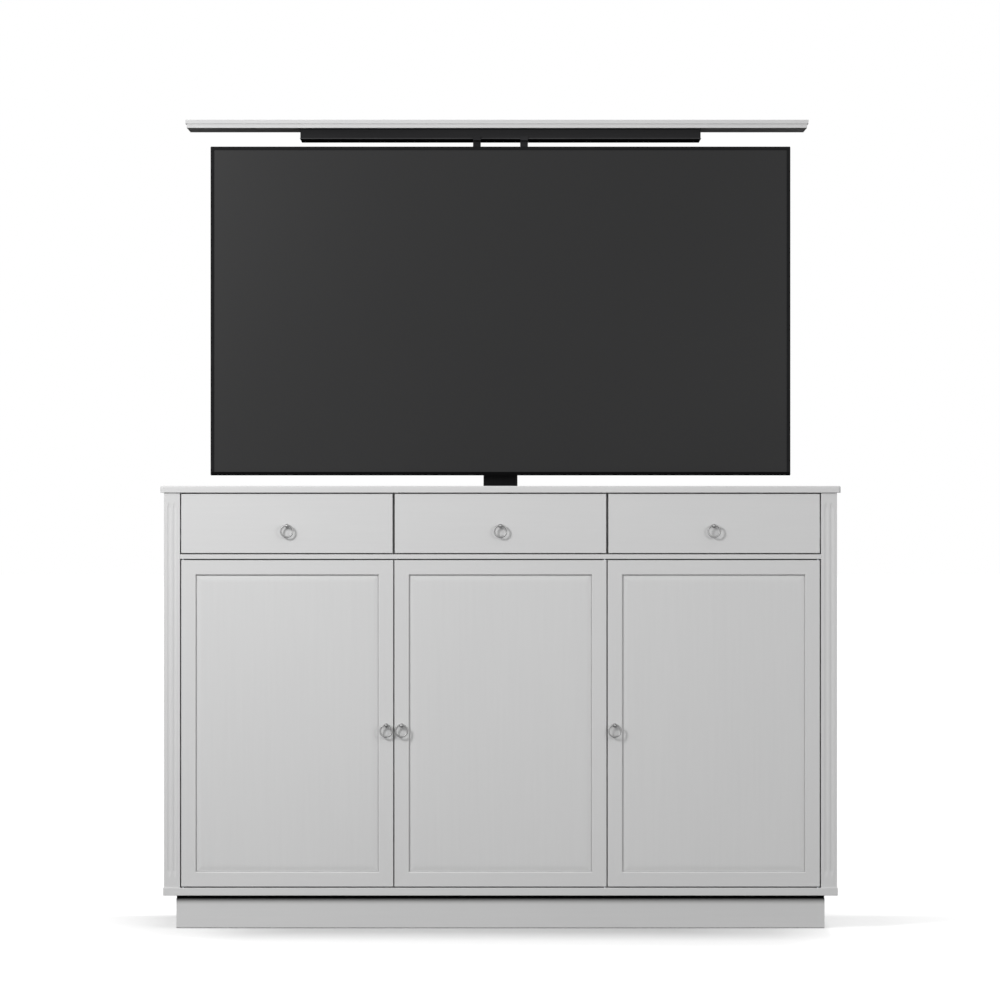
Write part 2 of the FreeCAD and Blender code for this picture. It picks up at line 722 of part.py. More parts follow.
def tv_frame():
    """The slim bezel: a lip over the edge of the picture and a wall round the sides."""
    outside = slab(-TV_HALF, TV_HALF, TV_FRONT, TV_FRONT + TV_EDGE_T, TV_Z, TV_TOP)
    outside = soften(outside, 2.0, lambda box: box.XLength < 0.01 and box.ZLength < 0.01)
    inner = slab(-TV_HALF + SHELL_T, TV_HALF - SHELL_T, TV_FRONT + LIP_T, TV_FRONT + TV_EDGE_T + 1,
                 TV_Z + SHELL_T, TV_TOP - SHELL_T)
    window = slab(-TV_HALF + BEZEL, TV_HALF - BEZEL, TV_FRONT - 1, TV_FRONT + LIP_T + 1,
                  TV_Z + BEZEL, TV_TOP - BEZEL)
    return outside.cut([inner, window])


def tv_screen():
    """The picture panel with its backlight, seated behind the lip of the bezel."""
    return slab(-TV_HALF + SHELL_T, TV_HALF - SHELL_T, TV_FRONT + LIP_T, PANEL_BACK,
                TV_Z + SHELL_T, TV_TOP - SHELL_T)


def tv_back_pan():
    """The thin metal back that closes the slim part of the set."""
    return slab(-TV_HALF + SHELL_T, TV_HALF - SHELL_T, PANEL_BACK + 0.2, TV_FRONT + TV_EDGE_T,
                TV_Z + SHELL_T, TV_TOP - SHELL_T)


def tv_rear_cover():
    """The moulded cover over the electronics: drafted walls, vents, screw posts, socket bay."""
    front = TV_FRONT + TV_EDGE_T
    x, z0, z1 = 430.0, TV_Z + 38, TV_Z + 505
    draft = 14.0
    wall = 2.5
    post = 9.0
    vents, vent_pitch, vent_half = 8, 22.0, 4.0

    def block(inset, back):
        foot = rectangle(-x + inset, x - inset, z0 + inset, z1 - inset, front)
        crown = rectangle(-x + draft + inset, x - draft - inset, z0 + draft + inset,
                          z1 - draft - inset, back)
        return Part.makeLoft([foot, crown], True, True)

    cover = block(0, TV_BACK).cut(block(wall, TV_BACK - wall))
    posts = [slab(px - post, px + post, front, TV_BACK, VESA_Z + dz - post, VESA_Z + dz + post)
             for px in (-VESA / 2, VESA / 2) for dz in (-VESA / 2, VESA / 2)]
    cover = cover.fuse(posts)
    cuts = [slab(232, 392, TV_BACK - 1.5, TV_BACK + 1, z0 + 60, z0 + 105)]
    for index in range(vents):
        for side in (-1, 1):
            vx = side * (210 + index * vent_pitch)
            cuts.append(slab(vx - vent_half, vx + vent_half, TV_BACK - 1, TV_BACK + 1, z1 - 90, z1 - 35))
    return cover.cut(cuts).removeSplitter()


# ---- build --------------------------------------------------------------------------------
def build_carcass():
    save("top_board", top_board())
    for word, side in (("left", -1), ("right", 1)):
        save("side_panel_" + word, side_panel(side))
        save("pilaster_" + word, pilaster(side))
    save("partitions", partition(-1), partition(1))
    rail = slab(-OPENING, OPENING, 0, PILASTER_T, RAIL_Z, RAIL_Z + RAIL_T)
    rail = bevel(rail, EASED, lambda box: on_front(box, 0) and box.XLength > 1)
    save("drawer_rail", rail.cut(leaf_mortises(False)))
    save("deck_boards", *deck_boards())
    save("bottom_board", base_board())
    save("plinth_boards", *plinth_boards())
    save("well_panel", well_panel())
    save("back_panel", back_panel())
    save("shelves", *shelves())
    save("shelf_battens", *shelf_battens())
    save("runner_packers", *runner_packers())
    save("cabinet_runners", *[cabinet_runner(wall, side) for walls in runner_walls().values()
                              for wall, side in zip(walls, (1, -1))])
    save("hinge_pivots", *cabinet_leaves())
    save("door_catches", *door_catches())


def build_fronts():
    for name in BAYS:
        save("drawer_" + name + "_front", drawer_front(name))
        save("drawer_" + name + "_box", *drawer_box(name))
        save("drawer_" + name + "_runners", *[drawer_runner(wall, side) for wall, side
                                              in zip(runner_walls()[name], (1, -1))])
        save("drawer_" + name + "_knob", knob(DRAWER_X[name] + DRAWER_W / 2, DRAWER_KNOB_Z))
        save("door_" + name + "_frame", *door_frame(name))
        save("door_" + name + "_panel", door_panel(name))
        save("door_" + name + "_knob", knob(door_knob_x(name), DOOR_KNOB_Z))
        save("door_" + name + "_fittings", *door_leaves(name), strike_plate(name))


def build_lift():
    save("lift_base_plate", lift_base_plate())
    save("lift_outer_column", column(OUTER))
    save("lift_middle_column", column(MIDDLE))
    save("lift_inner_column", column(INNER))
    save("outer_guide_strips", *guide_strips(OUTER))
    save("middle_guide_strips", *guide_strips(MIDDLE))
    save("lift_motor", lift_motor())
    save("lift_control_box", lift_control_box())
    save("head_bracket", head_bracket())
    save("lid_support_arms", *lid_support_arms())
    save("tv_mount_plate", tv_mount_plate())
    save("tv_bracket_rails", *tv_bracket_rails())
    save("lid_platform", lid_platform())
    save("lid_panel", lid_panel())
    save("tv_frame", tv_frame())
    save("tv_screen", tv_screen())
    save("tv_back_pan", tv_back_pan())
    save("tv_rear_cover", tv_rear_cover())


build_carcass()
build_fronts()
build_lift()
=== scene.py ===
import math
import bpy
import numpy as np
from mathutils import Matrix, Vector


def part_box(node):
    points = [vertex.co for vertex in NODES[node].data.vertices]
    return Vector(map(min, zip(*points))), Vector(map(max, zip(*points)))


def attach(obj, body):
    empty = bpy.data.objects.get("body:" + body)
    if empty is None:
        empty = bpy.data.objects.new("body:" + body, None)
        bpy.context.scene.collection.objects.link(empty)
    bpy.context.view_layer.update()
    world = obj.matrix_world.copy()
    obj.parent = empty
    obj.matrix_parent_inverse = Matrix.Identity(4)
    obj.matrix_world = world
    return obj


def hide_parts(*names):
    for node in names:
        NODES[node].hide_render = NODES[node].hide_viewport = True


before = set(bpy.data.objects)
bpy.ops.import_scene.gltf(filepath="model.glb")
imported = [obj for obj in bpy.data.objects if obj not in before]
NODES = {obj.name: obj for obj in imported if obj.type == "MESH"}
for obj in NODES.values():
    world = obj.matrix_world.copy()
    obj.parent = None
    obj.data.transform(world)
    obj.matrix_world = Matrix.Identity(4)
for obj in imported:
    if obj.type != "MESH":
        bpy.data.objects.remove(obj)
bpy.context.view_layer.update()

# Dresses the television lift cabinet: painted boards, open ring pulls, a black column lift, the
# television, and the small fittings on its hidden sides. Metres, +Z up, the fronts face -Y.

SIDES = ("left", "middle", "right")

# ---- finishes: a deep and a pale colour each, as linear values -----------------------------
PAINT = ((0.620, 0.620, 0.621, 1), (0.640, 0.640, 0.640, 1))
# Painted light: the lid has the cabinet's own paint, here made a little paler to stand in for light.
LID_PAINT_PAINTED_LIGHT = ((0.645, 0.645, 0.646, 1), (0.665, 0.665, 0.665, 1))
INSIDE = ((0.55, 0.55, 0.54, 1), (0.60, 0.60, 0.59, 1))
BIRCH = ((0.50, 0.34, 0.19, 1), (0.66, 0.50, 0.32, 1))
# Painted reflection: the nickel is darker than its own tone, standing in for dark surroundings it would
# reflect.
DARKENED_NICKEL = ((0.27, 0.27, 0.27, 1), (0.38, 0.38, 0.38, 1))
ZINC = ((0.44, 0.46, 0.49, 1), (0.58, 0.60, 0.63, 1))
GREY_MOULDING = ((0.36, 0.36, 0.36, 1), (0.42, 0.42, 0.42, 1))
GLIDE_MOULDING = ((0.66, 0.65, 0.61, 1), (0.74, 0.73, 0.69, 1))
BLACK_MOULDING = ((0.0090, 0.0090, 0.0098, 1), (0.0135, 0.0135, 0.0145, 1))
POWDER_COAT = ((0.0210, 0.0210, 0.0222, 1), (0.0290, 0.0290, 0.0305, 1))
ANODISED = ((0.013, 0.013, 0.0138, 1), (0.019, 0.019, 0.0202, 1))
BLACK_BOARD = ((0.0230, 0.0230, 0.0240, 1), (0.0290, 0.0290, 0.0300, 1))
# Painted shade: the black of the gap strip and of the plinth's top, standing in for the shade under the
# moulding.
PAINTED_SHADE_BLACK = ((0.0060, 0.0060, 0.0062, 1), (0.0085, 0.0085, 0.0088, 1))
# Painted highlight: the bead's grey, paler than the platform's black board.
EDGE_HIGHLIGHT_GREY = ((0.050, 0.050, 0.052, 1), (0.062, 0.062, 0.064, 1))
ENAMEL = ((0.035, 0.036, 0.040, 1), (0.050, 0.051, 0.055, 1))
BEZEL = ((0.0115, 0.0115, 0.0122, 1), (0.0150, 0.0150, 0.0158, 1))
LOWER_BAR_BLACK = (0.0022, 0.0022, 0.0024, 1)
SCREEN = ((0.0090, 0.0090, 0.0095, 1), (0.0108, 0.0108, 0.0113, 1))

# How deep each finish's relief goes, and where two of them change on one node.
PAINT_RELIEF = 0.00012
BIRCH_RELIEF = 0.0001
STIPPLE_RELIEF = 0.00008
PLATE_RELIEF = 0.00003
SCREEN_RELIEF = 0.00002
# Painted shade: the height over which the plinth's paint darkens to black under the moulding.
PAINTED_SHADE_RISE = (0.0485, 0.0625)
LOWER_BAR_HEIGHT = 0.0076
DRAWER_WALL = 0.0121


# ---- shader helpers -----------------------------------------------------------------------
def new_group(name, inputs, outputs):
    """An empty shader node group with named sockets, given as (name, kind, default) tuples."""
    group = bpy.data.node_groups.new(name, "ShaderNodeTree")
    for label, kind, value in inputs:
        socket = group.interface.new_socket(name=label, in_out="INPUT", socket_type=kind)
        if value is not None:
            socket.default_value = value
    for label, kind in outputs:
        group.interface.new_socket(name=label, in_out="OUTPUT", socket_type=kind)
    return group, group.nodes.new("NodeGroupInput"), group.nodes.new("NodeGroupOutput")


def add_math(tree, operation, first, second=None):
    """A Math node whose inputs are numbers or sockets; gives its output socket."""
    node = tree.nodes.new("ShaderNodeMath")
    node.operation = operation
    for index, value in enumerate((first, second)):
        if isinstance(value, (int, float)):
            node.inputs[index].default_value = value
        elif value is not None:
            tree.links.new(value, node.inputs[index])
    return node.outputs[0]


def add_share(tree, first, share, second):
    """A share of the first value and the rest of the second."""
    return add_math(tree, "ADD", add_math(tree, "MULTIPLY", first, share),
                    add_math(tree, "MULTIPLY", second, 1 - share))


def add_noise(tree, vector, scale, detail=2.0, roughness=0.5):
    """Soft noise, from 0 to 1."""
    node = tree.nodes.new("ShaderNodeTexNoise")
    node.inputs["Scale"].default_value = scale
    node.inputs["Detail"].default_value = detail
    node.inputs["Roughness"].default_value = roughness
    tree.links.new(vector, node.inputs["Vector"])
    return node.outputs["Fac"]


def add_mapping(tree, vector, scale=(1, 1, 1), turn=(0, 0, 0)):
    """The vector, stretched and turned."""
    node = tree.nodes.new("ShaderNodeMapping")
    node.inputs["Scale"].default_value = scale
    node.inputs["Rotation"].default_value = turn
    tree.links.new(vector, node.inputs["Vector"])
    return node.outputs["Vector"]


def add_mix(tree, factor, first, second):
    """A colour between two colours, by a factor that changes over the surface."""
    node = tree.nodes.new("ShaderNodeMix")
    node.data_type = "RGBA"
    tree.links.new(factor, node.inputs["Factor"])
    for socket, value in ((node.inputs[6], first), (node.inputs[7], second)):
        if isinstance(value, tuple):
            socket.default_value = value
        else:
            tree.links.new(value, socket)
    return node.outputs[2]


def add_choice(tree, choose_second, first, second):
    """The first value where the mask is 0 and the second where it is 1."""
    node = tree.nodes.new("ShaderNodeMix")
    tree.links.new(choose_second, node.inputs["Factor"])
    tree.links.new(first, node.inputs[2])
    tree.links.new(second, node.inputs[3])
    return node.outputs[0]


def add_range(tree, value, low, high, new_low, new_high):
    """The value carried from one range to another, and kept within it."""
    node = tree.nodes.new("ShaderNodeMapRange")
    tree.links.new(value, node.inputs["Value"])
    for label, number in (("From Min", low), ("From Max", high), ("To Min", new_low), ("To Max", new_high)):
        node.inputs[label].default_value = number
    return node.outputs["Result"]


def add_contrast(tree, value):
    """Noise huddles round its middle: its usual run, 0.35 to 0.65, is spread over 0 to 1."""
    return add_range(tree, value, 0.35, 0.65, 0, 1)


def add_table(tree, value, table):
    """Straight runs through (place, level) pairs, with levels from 0 to 1."""
    start, stop = table[0][0], table[-1][0]
    node = tree.nodes.new("ShaderNodeValToRGB")
    stops = node.color_ramp.elements
    for place, _ in table[1:-1]:
        stops.new((place - start) / (stop - start))
    for index, (_, level) in enumerate(table):
        stops[index].color = (level, level, level, 1)
    tree.links.new(add_range(tree, value, start, stop, 0, 1), node.inputs["Fac"])
    return node.outputs["Color"]


def coordinate(tree, vector, axis):
    """A vector's X, Y or Z."""
    parts = tree.nodes.new("ShaderNodeSeparateXYZ")
    tree.links.new(vector, parts.inputs[0])
    return parts.outputs[axis]


def distance_from(tree, vector, axis, middle):
    """How far a vector's X, Y or Z lies from a middle value."""
    return add_math(tree, "ABSOLUTE", add_math(tree, "SUBTRACT", coordinate(tree, vector, axis), middle))


def seen_or_mirrored(tree):
    """1 on camera, glossy and transmission rays, 0 on the light that bounces about the studio."""
    path = tree.nodes.new("ShaderNodeLightPath")
    mirrored = add_math(tree, "MAXIMUM", path.outputs["Is Glossy Ray"], path.outputs["Is Transmission Ray"])
    return add_math(tree, "MAXIMUM", path.outputs["Is Camera Ray"], mirrored)


# ---- grains and skins ---------------------------------------------------------------------
def grain_group():
    """Sprayed paint over wood: long faint streaks along the vector's Z, orange peel, slow mottling."""
    group, entry, leave = new_group(
        "paint_over_grain", [("Vector", "NodeSocketVector", None), ("Streak", "NodeSocketFloat", 0.5)],
        [("Height", "NodeSocketFloat"), ("Tone", "NodeSocketFloat")])
    vector = entry.outputs["Vector"]
    streak = add_noise(group, add_mapping(group, vector, (1, 1, 0.035)), 170, 4, 0.6)
    peel = add_noise(group, vector, 900, 1)
    mottle = add_noise(group, add_mapping(group, vector, (1, 1, 0.4)), 4.5, 3, 0.55)
    deep = add_math(group, "MULTIPLY", streak, entry.outputs["Streak"])
    height = add_math(group, "ADD", deep, add_math(group, "MULTIPLY", peel, 0.35))
    group.links.new(height, leave.inputs["Height"])
    tone = add_contrast(group, add_share(group, streak, 0.45, mottle))
    group.links.new(tone, leave.inputs["Tone"])
    return group


def figure_group():
    """Birch: wavering growth lines along the vector's Z, fine pores and pale flecks."""
    group, entry, leave = new_group(
        "birch_figure", [("Vector", "NodeSocketVector", None), ("Lines", "NodeSocketFloat", 60.0)],
        [("Figure", "NodeSocketFloat"), ("Height", "NodeSocketFloat")])
    vector = entry.outputs["Vector"]
    bend = group.nodes.new("ShaderNodeTexWave")
    bend.wave_type = "BANDS"
    bend.bands_direction = "X"
    bend.inputs["Distortion"].default_value = 6.0
    bend.inputs["Detail"].default_value = 3.0
    bend.inputs["Detail Scale"].default_value = 0.6
    group.links.new(add_mapping(group, vector, (1, 1, 0.06)), bend.inputs["Vector"])
    group.links.new(entry.outputs["Lines"], bend.inputs["Scale"])
    pores = add_noise(group, add_mapping(group, vector, (1, 1, 0.03)), 420, 3, 0.6)
    group.links.new(add_share(group, bend.outputs["Fac"], 0.45, pores), leave.inputs["Figure"])
    group.links.new(pores, leave.inputs["Height"])
    return group


def stipple_group():
    """The fine pebbled skin of moulded plastic and powder coat, with a slow change of tone."""
    group, entry, leave = new_group(
        "stipple", [("Vector", "NodeSocketVector", None), ("Scale", "NodeSocketFloat", 700.0)],
        [("Height", "NodeSocketFloat"), ("Tone", "NodeSocketFloat")])
    cells = group.nodes.new("ShaderNodeTexVoronoi")
    cells.feature = "SMOOTH_F1"
    group.links.new(entry.outputs["Vector"], cells.inputs["Vector"])
    group.links.new(entry.outputs["Scale"], cells.inputs["Scale"])
    mottle = add_noise(group, entry.outputs["Vector"], 9, 4, 0.6)
    height = add_math(group, "ADD", cells.outputs["Distance"], add_math(group, "MULTIPLY", mottle, 0.3))
    group.links.new(height, leave.inputs["Height"])
    group.links.new(add_contrast(group, mottle), leave.inputs["Tone"])
    return group


def plate_group():
    """Plated or drawn metal: hairlines along the vector's Z over a soft mottle."""
    group, entry, leave = new_group(
        "plated_metal", [("Vector", "NodeSocketVector", None), ("Lines", "NodeSocketFloat", 900.0)],
        [("Height", "NodeSocketFloat"), ("Tone", "NodeSocketFloat")])
    hair = group.nodes.new("ShaderNodeTexNoise")
    hair.inputs["Detail"].default_value = 3
    group.links.new(add_mapping(group, entry.outputs["Vector"], (1, 1, 0.02)), hair.inputs["Vector"])
    group.links.new(entry.outputs["Lines"], hair.inputs["Scale"])
    mottle = add_noise(group, entry.outputs["Vector"], 60, 3, 0.6)
    group.links.new(hair.outputs["Fac"], leave.inputs["Height"])
    tone = add_contrast(group, add_share(group, hair.outputs["Fac"], 0.4, mottle))
    group.links.new(tone, leave.inputs["Tone"])
    return group


GRAIN = grain_group()
FIGURE = figure_group()
STIPPLE = stipple_group()
PLATE = plate_group()
ALONG = {"X": (0, math.pi / 2, 0), "Y": (math.pi / 2, 0, 0), "Z": (0, 0, 0)}


# ---- materials ----------------------------------------------------------------------------
def start_material(name, **sockets):
    """A material with its own Principled shader, whose constants are set on its sockets."""
    material = bpy.data.materials.new(name)
    material.use_nodes = True
    tree = material.node_tree
    shader = tree.nodes["Principled BSDF"]
    for label, value in sockets.items():
        shader.inputs[label.replace("_", " ")].default_value = value
    where = tree.nodes.new("ShaderNodeTexCoord").outputs["Object"]
    return material, tree, shader, where


def place_group(tree, group, vector, **values):
    """A node group fed with the vector, with its other inputs set."""
    node = tree.nodes.new("ShaderNodeGroup")
    node.node_tree = group
    tree.links.new(vector, node.inputs["Vector"])
    for label, value in values.items():
        node.inputs[label].default_value = value
    return node


def finish_surface(tree, shader, tone, colours, height, depth, roughness, darkening=None):
    """Colour and roughness from the tone, a bump of the given depth from the height, and over
    them a darker colour where its mask is 1: painted shade on the plinth, a deeper black on the television's
    lower bar."""
    colour = add_mix(tree, tone, *colours)
    if darkening:
        colour = add_mix(tree, darkening[0], colour, darkening[1])
    tree.links.new(colour, shader.inputs["Base Color"])
    tree.links.new(add_range(tree, tone, 0, 1, *roughness), shader.inputs["Roughness"])
    bump = tree.nodes.new("ShaderNodeBump")
    bump.inputs["Strength"].default_value = 0.5
    bump.inputs["Distance"].default_value = depth
    tree.links.new(height, bump.inputs["Height"])
    tree.links.new(bump.outputs["Normal"], shader.inputs["Normal"])


def plinth_painted_shade(tree, where):
    """Painted shade: black in the shadow gap, fading out below it where the moulding's shadow falls on the
    plinth.
    """
    rise = add_range(tree, coordinate(tree, where, "Z"), *PAINTED_SHADE_RISE, 0, 1)
    return add_math(tree, "POWER", rise, 1.5), PAINTED_SHADE_BLACK[0]


def lower_bar_darkening(tree, where):
    """The television's lower bar, a deeper black than its other three."""
    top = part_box("tv_frame")[0][2] + LOWER_BAR_HEIGHT
    return add_math(tree, "LESS_THAN", coordinate(tree, where, "Z"), top), LOWER_BAR_BLACK


def painted(name, along, colours=PAINT, roughness=(0.42, 0.34), streak=0.5, level=0.45, darkening=None):
    """Satin paint on a board whose grain runs along X, Y or Z."""
    material, tree, shader, where = start_material(name, Specular_IOR_Level=level)
    look = place_group(tree, GRAIN, add_mapping(tree, where, turn=ALONG[along]), Streak=streak)
    finish_surface(tree, shader, look.outputs["Tone"], colours, look.outputs["Height"], PAINT_RELIEF,
                   roughness, darkening and darkening(tree, where))
    return material


def painted_frame(name, node):
    """A mitred frame: grain along X on the rails and along Z on the stiles, changing at the mitres."""
    low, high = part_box(node)
    material, tree, shader, where = start_material(name, Specular_IOR_Level=0.45)
    across = distance_from(tree, where, "X", (low[0] + high[0]) / 2)
    upward = distance_from(tree, where, "Z", (low[2] + high[2]) / 2)
    from_side = add_math(tree, "SUBTRACT", (high[0] - low[0]) / 2, across)
    from_end = add_math(tree, "SUBTRACT", (high[2] - low[2]) / 2, upward)
    is_rail = add_math(tree, "LESS_THAN", from_end, from_side)
    stile, rail = [place_group(tree, GRAIN, add_mapping(tree, where, turn=ALONG[axis]), Streak=0.5)
                   for axis in "ZX"]
    tone, height = [add_choice(tree, is_rail, stile.outputs[label], rail.outputs[label])
                    for label in ("Tone", "Height")]
    finish_surface(tree, shader, tone, PAINT, height, PAINT_RELIEF, (0.42, 0.34))
    return material


def birch_box(name, node):
    """Lacquered birch: grain along the walls, so along Y on the sides and along X elsewhere."""
    low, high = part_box(node)
    material, tree, shader, where = start_material(name, Specular_IOR_Level=0.5)
    across = distance_from(tree, where, "X", (low[0] + high[0]) / 2)
    is_middle = add_math(tree, "LESS_THAN", across, (high[0] - low[0]) / 2 - DRAWER_WALL)
    side, middle = [place_group(tree, FIGURE, add_mapping(tree, where, turn=ALONG[axis])) for axis in "YX"]
    figure, height = [add_choice(tree, is_middle, side.outputs[label], middle.outputs[label])
                      for label in ("Figure", "Height")]
    tone = add_range(tree, figure, 0.3, 0.7, 0, 1)
    finish_surface(tree, shader, tone, BIRCH, height, BIRCH_RELIEF, (0.50, 0.38))
    return material


def stippled(name, colours, roughness=(0.55, 0.45), scale=700.0, level=0.25, darkening=None):
    """Moulded plastic, enamel or powder coat, finer where the scale is larger."""
    material, tree, shader, where = start_material(name, Specular_IOR_Level=level)
    look = place_group(tree, STIPPLE, where, Scale=scale)
    finish_surface(tree, shader, look.outputs["Tone"], colours, look.outputs["Height"], STIPPLE_RELIEF,
                   roughness, darkening and darkening(tree, where))
    return material


def plated(name, colours, roughness=(0.42, 0.30), lines=900.0, metal=1.0, level=0.5):
    """Plated, drawn or anodised metal, brushed upwards."""
    material, tree, shader, where = start_material(name, Metallic=metal, Specular_IOR_Level=level)
    look = place_group(tree, PLATE, where, Lines=lines)
    finish_surface(tree, shader, look.outputs["Tone"], colours, look.outputs["Height"], PLATE_RELIEF,
                   roughness)
    return material


def picture_glass():
    """The switched-off picture: near black, with a matt anti-glare face that varies very slightly."""
    material, tree, shader, where = start_material("anti_glare_screen", Specular_IOR_Level=0.30)
    tone = add_contrast(tree, add_noise(tree, where, 2.2, 2))
    sparkle = add_noise(tree, where, 2500, 1)
    finish_surface(tree, shader, tone, SCREEN, sparkle, SCREEN_RELIEF, (0.46, 0.42))
    return material


LOOKS = {
    "paint_x": painted("grey_paint_grain_across", "X"),
    "paint_z": painted("grey_paint_grain_upright", "Z"),
    "inside_x": painted("inside_board_across", "X", INSIDE, (0.60, 0.52), 0.25),
    "inside_z": painted("inside_board_upright", "Z", INSIDE, (0.60, 0.52), 0.25),
    "nickel": plated("satin_nickel_painted_reflection", DARKENED_NICKEL, (0.46, 0.40)),
    "zinc": plated("bright_zinc", ZINC),
    "grey_plastic": stippled("grey_moulding", GREY_MOULDING, level=0.5),
    "glide": stippled("glide_moulding", GLIDE_MOULDING, level=0.5),
    "lid_paint_painted_light": painted("grey_paint_floating_lid_painted_light", "X", LID_PAINT_PAINTED_LIGHT, (0.60, 0.52), level=0.0),
    "plinth_paint": painted("grey_paint_plinth_painted_shade", "X", darkening=plinth_painted_shade),
    "bezel": stippled("black_bezel", BEZEL, (0.60, 0.50), level=0.03, darkening=lower_bar_darkening),
    "black_steel": stippled("black_powder_coat", POWDER_COAT, (0.75, 0.65), 900.0, level=0.05),
    "black_alloy": plated("black_anodised", ANODISED, (0.50, 0.40), 600.0, metal=0.0, level=0.08),
    "black_board": painted("black_board_grain_across", "X", BLACK_BOARD, (0.85, 0.75), level=0.0),
    "gap_painted_shade": painted("black_painted_shade_strip", "X", PAINTED_SHADE_BLACK, (0.85, 0.75), level=0.0),
    "bead": stippled("painted_highlight_edge_bead", EDGE_HIGHLIGHT_GREY, (0.62, 0.55), level=0.0),
    "enamel": stippled("motor_enamel", ENAMEL, (0.38, 0.30), 300.0, level=0.5),
    "black_plastic": stippled("black_moulding", BLACK_MOULDING, (0.60, 0.50), level=0.08),
    "screen": picture_glass(),
}

NODE_LOOKS = {
    "top_board": "paint_x", "drawer_rail": "paint_x", "bottom_board": "paint_x",
    "plinth_boards": "plinth_paint", "lid_panel": "lid_paint_painted_light", "side_panel_left": "paint_z",
    "side_panel_right": "paint_z", "pilaster_left": "paint_z", "pilaster_right": "paint_z",
    "partitions": "inside_z", "deck_boards": "inside_x", "well_panel": "inside_z",
    "back_panel": "inside_z", "shelves": "inside_x", "shelf_battens": "inside_x",
    "runner_packers": "inside_x", "cabinet_runners": "zinc", "hinge_pivots": "zinc",
    "door_catches": "grey_plastic", "outer_guide_strips": "glide", "middle_guide_strips": "glide",
    "lift_base_plate": "black_steel", "head_bracket": "black_steel", "lid_support_arms": "black_steel",
    "tv_mount_plate": "black_steel", "tv_bracket_rails": "black_steel", "tv_back_pan": "black_steel",
    "lift_outer_column": "black_alloy", "lift_middle_column": "black_alloy",
    "lift_inner_column": "black_alloy", "lid_platform": "black_board", "lift_motor": "enamel",
    "lift_control_box": "black_plastic", "tv_frame": "bezel", "tv_rear_cover": "black_plastic",
    "tv_screen": "screen",
}


def dress(node, material):
    """Gives a CAD node one material."""
    mesh = NODES[node].data
    if mesh.materials:
        mesh.materials[0] = material
    else:
        mesh.materials.append(material)


for node_name, look_name in NODE_LOOKS.items():
    dress(node_name, LOOKS[look_name])
for side_name in SIDES:
    dress("drawer_%s_front" % side_name, LOOKS["paint_x"])
    dress("drawer_%s_runners" % side_name, LOOKS["zinc"])
    dress("drawer_%s_box" % side_name, birch_box("birch_%s" % side_name, "drawer_%s_box" % side_name))
    dress("door_%s_panel" % side_name, LOOKS["paint_z"])
    dress("door_%s_fittings" % side_name, LOOKS["zinc"])
    dress("door_%s_frame" % side_name, painted_frame("grey_paint_frame_%s" % side_name,
                                                     "door_%s_frame" % side_name))
    for kind in ("drawer", "door"):
        dress("%s_%s_knob" % (kind, side_name), LOOKS["nickel"])


# ---- surfaces worked out on a grid --------------------------------------------------------
ON_AXIS = 1e-7
FRONT, BACK, LEFT, RIGHT, UP = (0, -1, 0), (0, 1, 0), (-1, 0, 0), (1, 0, 0), (0, 0, 1)


def put_mesh(name, points, faces, material, body, smooth=True):
    """Makes an object from arrays of points and faces, rides it on a body and dresses it."""
    mesh = bpy.data.meshes.new(name)
    mesh.from_pydata(points.tolist(), [], [list(face) for face in faces])
    mesh.validate()
    mesh.polygons.foreach_set("use_smooth", np.full(len(mesh.polygons), smooth))
    mesh.materials.append(material)
    obj = bpy.data.objects.new(name, mesh)
    bpy.context.scene.collection.objects.link(obj)
    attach(obj, body)
    return obj


def ring_faces(rows, columns, closed=False):
    """Quads between neighbouring rows of a closed ring of columns, facing away from the axis."""
    row, column = np.meshgrid(np.arange(rows if closed else rows - 1), np.arange(columns), indexing="ij")
    after, above = (column + 1) % columns, (row + 1) % rows
    corners = [row * columns + column, row * columns + after, above * columns + after,
               above * columns + column]
    return np.stack([corner.ravel() for corner in corners], axis=1)


def fine_outline(stations, step):
    """Stations (radius, reach, rounding) joined by straight runs whose corners are quadratic
    curves: within a rounding's length of a corner the line is the parabola that starts and ends
    on the two runs. Gives evenly dense points from the first station to the last."""
    line = [np.array(stations[0][:2], float)]
    for before, here, after in zip(stations, stations[1:], stations[2:]):
        corner = np.array(here[:2], float)
        back, ahead = np.array(before[:2], float) - corner, np.array(after[:2], float) - corner
        reach = min(here[2], np.hypot(*back) / 2, np.hypot(*ahead) / 2)
        enter = corner + back / np.hypot(*back) * reach
        leave = corner + ahead / np.hypot(*ahead) * reach
        t = np.linspace(0, 1, 5)[:, None]
        line.extend((1 - t) ** 2 * enter + 2 * t * (1 - t) * corner + t ** 2 * leave)
    line.append(np.array(stations[-1][:2], float))
    line = np.array(line)
    along = np.concatenate([[0], np.cumsum(np.hypot(*np.diff(line, axis=0).T))])
    even = np.union1d(np.arange(0, along[-1], step), along)
    even = even[np.append(np.diff(even) > step / 4, True)]
    return np.stack([np.interp(even, along, line[:, 0]), np.interp(even, along, line[:, 1])], axis=1)


